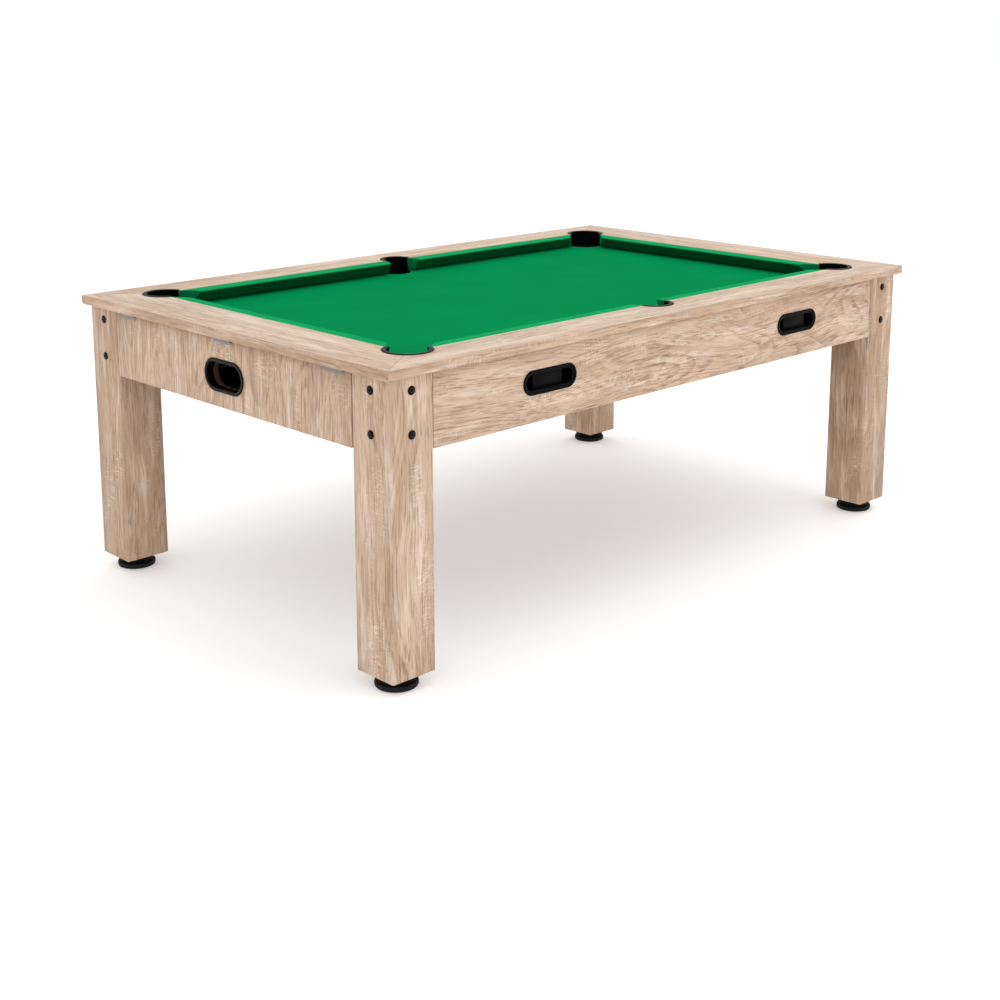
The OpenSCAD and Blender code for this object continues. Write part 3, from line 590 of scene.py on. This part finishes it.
# ---- cushions ----
def cushion_rubber(name, x0, x1, jaw0, jaw1):
    """A cushion along X: rubber with a rolled nose under stretched cloth. The wood edge is
    at y = 0 and the nose at -y; both ends are cut back to the pocket jaws."""
    section = [(0.0004, CUSHION_Z), (0.0004, 0.7990), (0.0030, 0.7996), (0.012, 0.7998),
               (0.028, 0.7996), (0.0360, 0.7990), (0.0396, 0.7980), (0.0411, 0.7967),
               (0.0416, 0.7950), (0.0411, 0.7932),
               (0.0392, 0.7900), (0.0352, 0.7835), (0.0308, 0.7762), (0.0264, 0.7690), (0.0236, 0.7632),
               (0.0222, CUSHION_Z)]
    piece = outline_piece(name, section)
    for v in piece.data.vertices:
        v.co = (x0, -v.co.x, v.co.z)
    edit(piece)
    bpy.ops.mesh.edge_face_add()
    bpy.ops.mesh.extrude_region_move(TRANSFORM_OT_translate={"value": (x1 - x0, 0, 0)})
    bpy.ops.mesh.select_all(action="SELECT")
    for x, jaw, side in ((x0, jaw0, 1), (x1, -jaw1, -1)):
        bpy.ops.mesh.select_all(action="SELECT")
        normal = Vector((CUSHION_W, jaw, 0)).normalized() * side
        bpy.ops.mesh.bisect(plane_co=(x, 0, 0), plane_no=normal, use_fill=True, clear_inner=True)
    object_mode()
    tidy(piece, 30)
    edit(piece)
    pick_edges(piece, lambda e: len(e.link_faces) == 2 and e.calc_face_angle(0) > 0.7 and
               abs(e.verts[0].co.x - e.verts[1].co.x) < 0.2)
    bpy.ops.mesh.bevel(offset=0.0022, segments=3, affect="EDGES", clamp_overlap=True)
    object_mode()
    tidy(piece, 40)
    piece.data.materials.append(LIT_CUSHION_CLOTH)
    piece.data.materials.append(SHADED_FOLDED_CLOTH)
    piece.data.materials.append(SHADED_UNDER_CLOTH)
    # jaw faces get the cloth with painted shade, faces below the nose the darkest painted shade
    for f in piece.data.polygons:
        f.material_index = 1 if abs(f.normal.x) > 0.55 else 2 if f.normal.z < -0.15 else 0
    return piece


side = cushion_rubber("side_cushion", MIDDLE_GAP, CORNER.x - CORNER_GAP, MIDDLE_JAW, CORNER_JAW)
for n, (sx, sy) in QUADRANTS.items():
    to_edge = quadrant(sx, sy) @ Matrix.Translation((0, EDGE_Y, 0))
    piece = place(copy_of(side, f"cushion_{n}_covered"), to_edge)
    finish_piece(piece, "root", "green_cloth", f"cushion_{n}")
drop(side)
end_half = CORNER.y - CORNER_GAP
end = cushion_rubber("end_cushion", -end_half, end_half, CORNER_JAW, CORNER_JAW)
for n, sx in (("left", -1), ("right", 1)):
    turn = Matrix.Translation((EDGE_X, 0, 0)) @ Matrix.Rotation(-math.pi / 2, 4, "Z")
    piece = place(copy_of(end, f"cushion_{n}_covered"), quadrant(sx, 1) @ turn)
    finish_piece(piece, "root", "green_cloth", f"cushion_{n}")
drop(end)


# ---- pocket liners ----
def liner_wall(r):
    """Section of a liner's upper part: a thin wall under a rolled rim."""
    out = r + LINER_WALL
    return [(out, BED - 0.0005), (out, TOP), (out + 0.0050, 0.8001), (out + 0.0056, 0.8006),
            (out + 0.0056, 0.8012), (out + 0.0046, 0.8018), (out + 0.003, RIM_TOP),
            (r - 0.0005, RIM_TOP), (r - 0.0020, 0.8016), (r - 0.0028, 0.8006),
            (r - 0.0030, 0.7990), (r - 0.0026, 0.7965),
            (r - 0.0014, 0.7930), (r - 0.0002, 0.7895), (r, 0.7860), (r, BED - 0.0005)]


def liner_ring(r):
    """Section of a liner's lower part, a short tube through the bed."""
    out = r + LINER_WALL
    return [(out, LINER_Z), (out, BED - 0.0015), (out - 0.001, BED - 0.0005),
            (r + 0.001, BED - 0.0005), (r, BED - 0.0015), (r, LINER_Z)]


def pocket(name, r, start, sweep):
    wall = lathe(name + "_wall", liner_wall(r), sweep, start, 56)
    ring = lathe(name + "_ring", liner_ring(r), 360, 0, 96)
    return join(name, [wall, ring])


corner = pocket("corner_pocket", CORNER_R, -73.7, 237.4)
for n, (sx, sy) in QUADRANTS.items():
    to_corner = quadrant(sx, sy) @ Matrix.Translation((*CORNER, 0))
    piece = place(copy_of(corner, f"pocket_{n}_moulded"), to_corner)
    finish_piece(piece, "root", "black_plastic", f"pocket_{n}", materials=[ABS])
drop(corner)
middle = pocket("middle_pocket", MIDDLE_R, -3, 186)
for n, sy in (("front_middle", -1), ("back_middle", 1)):
    to_middle = quadrant(1, sy) @ Matrix.Translation((0, MIDDLE_Y, 0))
    piece = place(copy_of(middle, f"pocket_{n}_moulded"), to_middle)
    finish_piece(piece, "root", "black_plastic", f"pocket_{n}", materials=[ABS])
drop(middle)

# ---- return bezel ----
to_end = Matrix.Translation((-FRAME_X, 0, RETURN_Z)) @ Matrix(
    ((0, 0, -1, 0), (-1, 0, 0, 0), (0, 1, 0, 0), (0, 0, 0, 1))
)
# offsets are from the path through the panel's hole, z out of the panel
rim = [(0.0, -0.0188), (0.0, 0.0), (0.0072, 0.0002), (0.0076, 0.0010), (0.0072, 0.0022),
       (0.0060, 0.0028), (0.0020, 0.0029), (-0.0005, 0.0026), (-0.0018, 0.0018),
       (-0.0024, 0.0004), (-0.0025, -0.003),
       (-0.0025, -0.0188)]
bezel = place(racetrack("return_bezel_moulded", rim, 0.157, 0.073), to_end)
finish_piece(bezel, "flap", "black_plastic", "return_bezel", materials=[GLOSS_ABS])


# ---- grips in the long aprons ----
def flush_grip():
    """A moulded grip: rolled rim, a lower land, and two finger pockets beside a plate."""
    rim = [(0.0, -0.0355), (0.0, 0.0), (0.0096, 0.0002), (0.0100, 0.0010), (0.0096, 0.0022),
           (0.0082, 0.0029), (0.0062, 0.0029), (0.0050, 0.0020), (0.0044, 0.0008), (-0.0008, 0.0004),
           (-0.0018, -0.0004),
           (-0.0023, -0.0020), (-0.0025, -0.0355)]
    wall = racetrack("grip_wall", rim, 0.170, 0.044)
    floor = slot_plate("grip_floor", 0.168, 0.042, -0.0359, -0.0336)
    plate = block("grip_plate", (-0.052, -0.0205, -0.0125), (0.052, 0.0205, -0.0100))
    frame_up = block("grip_ridge_top", (-0.050, 0.0150, -0.0101), (0.050, 0.0172, -0.0088))
    frame_low = block("grip_ridge_low", (-0.050, -0.0172, -0.0101), (0.050, -0.0150, -0.0088))
    sides = []
    for s in (-1, 1):
        x = s * 0.0508
        low, high = (x - 0.0012, -0.0205, -0.0345), (x + 0.0012, 0.0205, -0.0112)
        sides.append(block(f"grip_side_{s}", low, high))
    for p in (plate, frame_up, frame_low, *sides):
        round_edges(p, 0.0005, 2)
    return tidy(join("flush_grip", [wall, floor, plate, frame_up, frame_low, *sides]), 40)


grip = flush_grip()
to_side = Matrix.Translation((GRIP_X, FRAME_Y, GRIP_Z)) @ Matrix(
    ((1, 0, 0, 0), (0, 0, 1, 0), (0, 1, 0, 0), (0, 0, 0, 1))
)
for n, (sx, sy) in QUADRANTS.items():
    piece = place(copy_of(grip, f"grip_{n}_moulded"), quadrant(sx, sy) @ to_side)
    tidy(piece, 40)
    finish_piece(piece, "root", "black_plastic", f"grip_{n}", materials=[ABS])
drop(grip)


# ---- leg bolts ----
def bolt():
    """A domed bolt head with a hexagon socket and its shank, along +Z, its seat at z = 0."""
    head = [(0.004, -0.002), (0.011, 0.0), (0.0112, 0.0004), (0.0108, 0.0013), (0.0095, 0.0021),
            (0.0075, 0.0026), (0.0060, 0.0029), (0.0050, 0.00295), (0.0036, 0.0022),
            (0.0034, 0.0016), (0.0034, -0.002)]
    dome = lathe("bolt_head", head, 360, 0, 36)
    for material in (BOLT, SOCKET_HIGHLIGHT):
        dome.data.materials.append(material)
    for f in dome.data.polygons:
        middle = f.center
        # faces round the socket get the painted highlight
        f.material_index = int(math.hypot(middle.x, middle.y) < BOLT_SOCKET_R and middle.z > 0.0015)
    bpy.ops.mesh.primitive_cylinder_add(vertices=6, radius=0.0034, depth=0.004, location=(0, 0, -0.0012))
    floor = bpy.context.object
    only(floor)
    bpy.ops.object.transform_apply()
    round_edges(floor, 0.0002, 1)
    bpy.ops.mesh.primitive_cylinder_add(vertices=24, radius=0.004, depth=0.056, location=(0, 0, -0.0295))
    shank = bpy.context.object
    only(shank)
    bpy.ops.object.transform_apply()
    round_edges(shank, 0.0005, 1)
    for part in (floor, shank):
        part.data.materials.append(BOLT)
    return join("leg_bolt", [dome, floor, shank])


one = bolt()
bolts = []
for name, (sx, sy) in QUADRANTS.items():
    for z in BOLT_Z:
        to_x = Matrix.Translation((FRAME_X, LEG_Y, z)) @ Matrix.Rotation(math.pi / 2, 4, "Y")
        to_y = Matrix.Translation((LEG_X, FRAME_Y, z)) @ Matrix.Rotation(-math.pi / 2, 4, "X")
        for k, m in enumerate((to_x, to_y)):
            bolts.append(place(copy_of(one, f"bolt_{name}_{k}_{int(z * 1000)}"), quadrant(sx, sy) @ m))
drop(one)
piece = join("leg_bolts_turned", bolts)
finish_piece(piece, "root", "black_bolts", "leg_bolts")

# ---- hinges ----
for n, body in (("hinge_rail_leaves", "root"), ("hinge_flap_leaves", "flap")):
    eased(n, f"{n}_pressed", LEAF_EASE, body, "zinc_steel", SHADED_ZINC)
# each lower leaf is turned over the panel's face in a narrow lip
for k, y in enumerate(HINGE_Y):
    lip = block(f"hinge_lip_{k}", (-FRAME_X - LIP_THICK, y - HINGE_HALF, LIP_LOW),
                (-FRAME_X, y + HINGE_HALF, LIP_HIGH))
    round_edges(lip, 0.0004, 2)
    lip.data.materials.append(SHADED_ZINC)
    finish_piece(lip, "flap", "zinc_steel", "hinge_flap_leaves")


# ---- feet ----
def sole():
    """The moulded sole of a foot, with a rolled lower edge and a shallow tread below."""
    outline = [(0.0101, 0.005), (0.0101, 0.0146), (0.0106, 0.015), (0.0500, 0.015), (0.0520, 0.0146),
               (0.0534, 0.0132), (0.0539, 0.0110), (0.0540, 0.0070), (0.0534, 0.0038), (0.0518, 0.0014),
               (0.0490, 0.0002), (0.0470, 0.0), (0.0430, 0.0), (0.0425, 0.0008), (0.0330, 0.0008),
               (0.0325, 0.0), (0.0020, 0.0), (0.0020, 0.005)]
    return lathe("foot_sole", outline, 360, 0, 96)


def wheel():
    """The moulded adjusting wheel: a slightly tapered drum with shallow finger flutes."""
    outline = [(0.0040, 0.0053), (0.0100, 0.0053), (0.0100, 0.0153), (0.0470, 0.0153), (0.0485, 0.0158),
               (0.0489, 0.0170), (0.0487, 0.0260), (0.0483, 0.0330), (0.0474, 0.0352), (0.0455, 0.0359),
               (0.0200, 0.0360), (0.0062, 0.0360), (0.0060, 0.0365), (0.0060, 0.0950), (0.0052, 0.0960),
               (0.0040, 0.0960)]
    drum = lathe("foot_wheel", outline, 360, 0, 144)
    for v in drum.data.vertices:
        r = math.hypot(v.co.x, v.co.y)
        if r > 0.0465:
            turn = math.atan2(v.co.y, v.co.x) * 24
            dip = 0.0011 * max(0.0, math.cos(turn)) ** 2
            v.co.x *= (r - dip) / r
            v.co.y *= (r - dip) / r
    return drum


FOOT_PIECES = ((sole, "sole", "sole_rubber", RUBBER), (wheel, "wheel", "black_plastic", ABS))
for maker, word, slot, material in FOOT_PIECES:
    one = maker()
    for n, (sx, sy) in QUADRANTS.items():
        to_leg = Matrix.Translation((sx * LEG_X, sy * LEG_Y, 0))
        piece = place(copy_of(one, f"foot_{word}_{n}_moulded"), to_leg)
        body = f"foot_{n}" if word == "sole" else f"wheel_{n}"
        finish_piece(piece, body, slot, f"foot_{word}_{n}", materials=[material])
    drop(one)

# ---- floor, light and camera ----
object_mode()
bpy.ops.mesh.primitive_plane_add(size=60, location=(0, 0, -0.0002))
floor = bpy.context.object
floor.name = "studio_floor"
pale = finish("pale_floor", Base_Color=to_linear("#fbfbfb"), Roughness=0.9,
              Emission_Color=to_linear("#ffffff"), Emission_Strength=0.25)
floor.data.materials.append(pale)

world = bpy.data.worlds.new("studio")
bpy.context.scene.world = world
world.use_nodes = True
world.node_tree.nodes["Background"].inputs["Color"].default_value = (1, 1, 1, 1)
world.node_tree.nodes["Background"].inputs["Strength"].default_value = 1.0


def softbox(name, at, towards, size, power):
    light = bpy.data.lights.new(name, "AREA")
    light.shape, light.size, light.energy = "SQUARE", size, power
    o = bpy.data.objects.new(name, light)
    bpy.context.scene.collection.objects.link(o)
    o.location = at
    o.rotation_euler = (Vector(towards) - Vector(at)).to_track_quat("-Z", "Y").to_euler()


softbox("overhead", (0.3, -0.6, 3.6), (0, 0, 0.7), 3.0, 22)
softbox("front", (1.2, -4.8, 2.2), (0, 0, 0.5), 2.6, 20)

camera = bpy.data.cameras.new("camera")
camera.lens = 55.87
camera.shift_y = -0.17
view = bpy.data.objects.new("camera", camera)
bpy.context.scene.collection.objects.link(view)
yaw, pitch = math.radians(45.74), math.radians(11.53)
look = Vector((math.cos(yaw) * math.cos(pitch), math.sin(yaw) * math.cos(pitch), -math.sin(pitch)))
view.location = (-3.237, -3.2577, 1.5817)
view.rotation_euler = look.to_track_quat("-Z", "Y").to_euler()
bpy.context.scene.camera = view
bpy.context.scene.view_settings.view_transform = "Standard"
